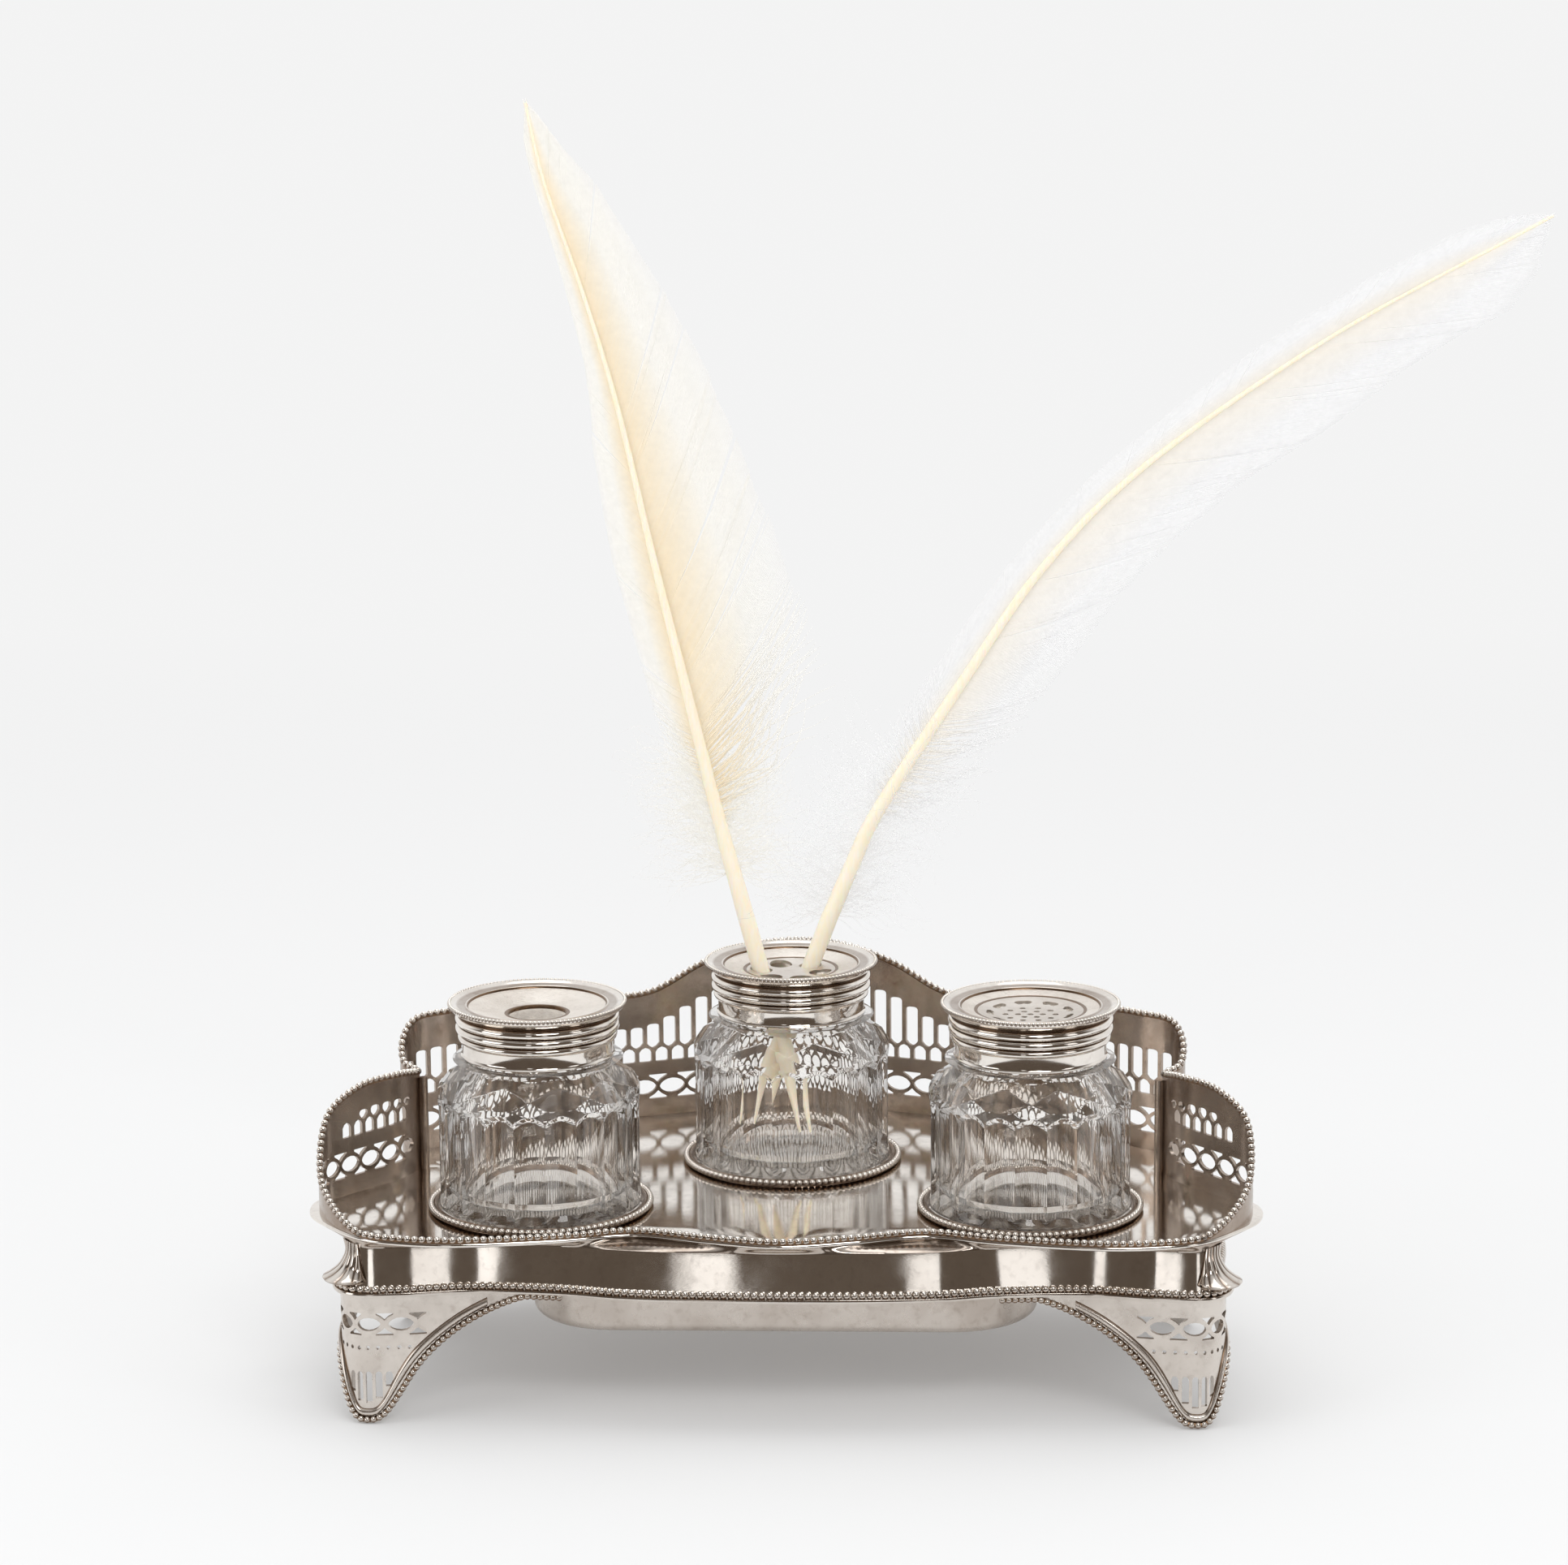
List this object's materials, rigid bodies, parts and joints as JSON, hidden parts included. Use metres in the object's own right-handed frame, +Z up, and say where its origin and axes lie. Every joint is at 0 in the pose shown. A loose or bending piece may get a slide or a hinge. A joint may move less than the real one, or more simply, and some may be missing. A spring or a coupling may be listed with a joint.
{
  "type": "desk inkstand",
  "caption": "Silver desk inkstand: a shaped tray on bracket feet with a pierced gallery, carrying cut glass ink, quill and pounce bottles with lift-off caps and two quills.",
  "frame": {"origin": "on the tray's floor, midway between the two side bottles", "axes": "+Z up out of the tray's floor, +X to the right seen from the front, +Y to the back with the high gallery"},
  "size_m": [0.3677, 0.1585, 0.3713],
  "materials": {
    "silver": "polished silver plate, slightly tarnished",
    "cut_glass": "clear cut glass",
    "quill_horn": "smooth feather shaft",
    "ivory_vane": "soft feather barbs",
    "grey_vane": "soft feather barbs"
  },
  "bodies": {
    "stand": {"top_plate": "silver", "cove_band": "silver", "base_moulding": "silver", "under_pan": "silver", "front_bead": "silver", "base_bead": "silver", "gallery_left": "silver", "gallery_right": "silver", "gallery_back": "silver", "border_left": "silver", "border_right": "silver", "border_back": "silver", "post_left": "silver", "post_right": "silver", "foot_front_left": "silver", "foot_front_right": "silver", "foot_rear_left": "silver", "foot_rear_right": "silver", "foot_bead_front_left": "silver", "foot_bead_front_right": "silver", "foot_bead_rear_left": "silver", "foot_bead_rear_right": "silver", "ink_ring": "silver", "quill_ring": "silver", "pounce_ring": "silver", "leaf_front_left": "silver", "leaf_front_right": "silver", "leaf_rear_left": "silver", "leaf_rear_right": "silver"},
    "ink_well": {"ink_bottle": "cut_glass", "ink_collar": "silver"},
    "quill_holder": {"quill_pot": "cut_glass", "quill_collar": "silver"},
    "pounce_pot": {"pounce_bottle": "cut_glass", "pounce_collar": "silver"},
    "ink_lid": {"ink_cap": "silver"},
    "quill_lid": {"quill_cap": "silver"},
    "pounce_lid": {"pounce_cap": "silver"},
    "left_quill": {"quill_left_shaft": "quill_horn", "quill_left_vane": "ivory_vane"},
    "right_quill": {"quill_right_shaft": "quill_horn", "quill_right_vane": "grey_vane"}
  },
  "joints": [
    {"name": "ink_bottle_lift", "type": "slide", "parent": "stand", "child": "ink_well", "axis": [0, 0, 1], "range_m": [0, 0.06]},
    {"name": "quill_pot_lift", "type": "slide", "parent": "stand", "child": "quill_holder", "axis": [0, 0, 1], "range_m": [0, 0.06]},
    {"name": "pounce_bottle_lift", "type": "slide", "parent": "stand", "child": "pounce_pot", "axis": [0, 0, 1], "range_m": [0, 0.06]},
    {"name": "ink_cap_lift", "type": "slide", "parent": "ink_well", "child": "ink_lid", "axis": [0, 0, 1], "range_m": [0, 0.02]},
    {"name": "quill_cap_lift", "type": "slide", "parent": "quill_holder", "child": "quill_lid", "axis": [0, 0, 1], "range_m": [0, 0.02]},
    {"name": "pounce_cap_lift", "type": "slide", "parent": "pounce_pot", "child": "pounce_lid", "axis": [0, 0, 1], "range_m": [0, 0.02]},
    {"name": "left_quill_draw", "type": "slide", "parent": "quill_lid", "child": "left_quill", "axis": [-0.2674, 0.1346, 0.9541], "range_m": [0, 0.06]},
    {"name": "right_quill_draw", "type": "slide", "parent": "quill_lid", "child": "right_quill", "axis": [0.3604, 0.0698, 0.9302], "range_m": [0, 0.06]}
  ]
}
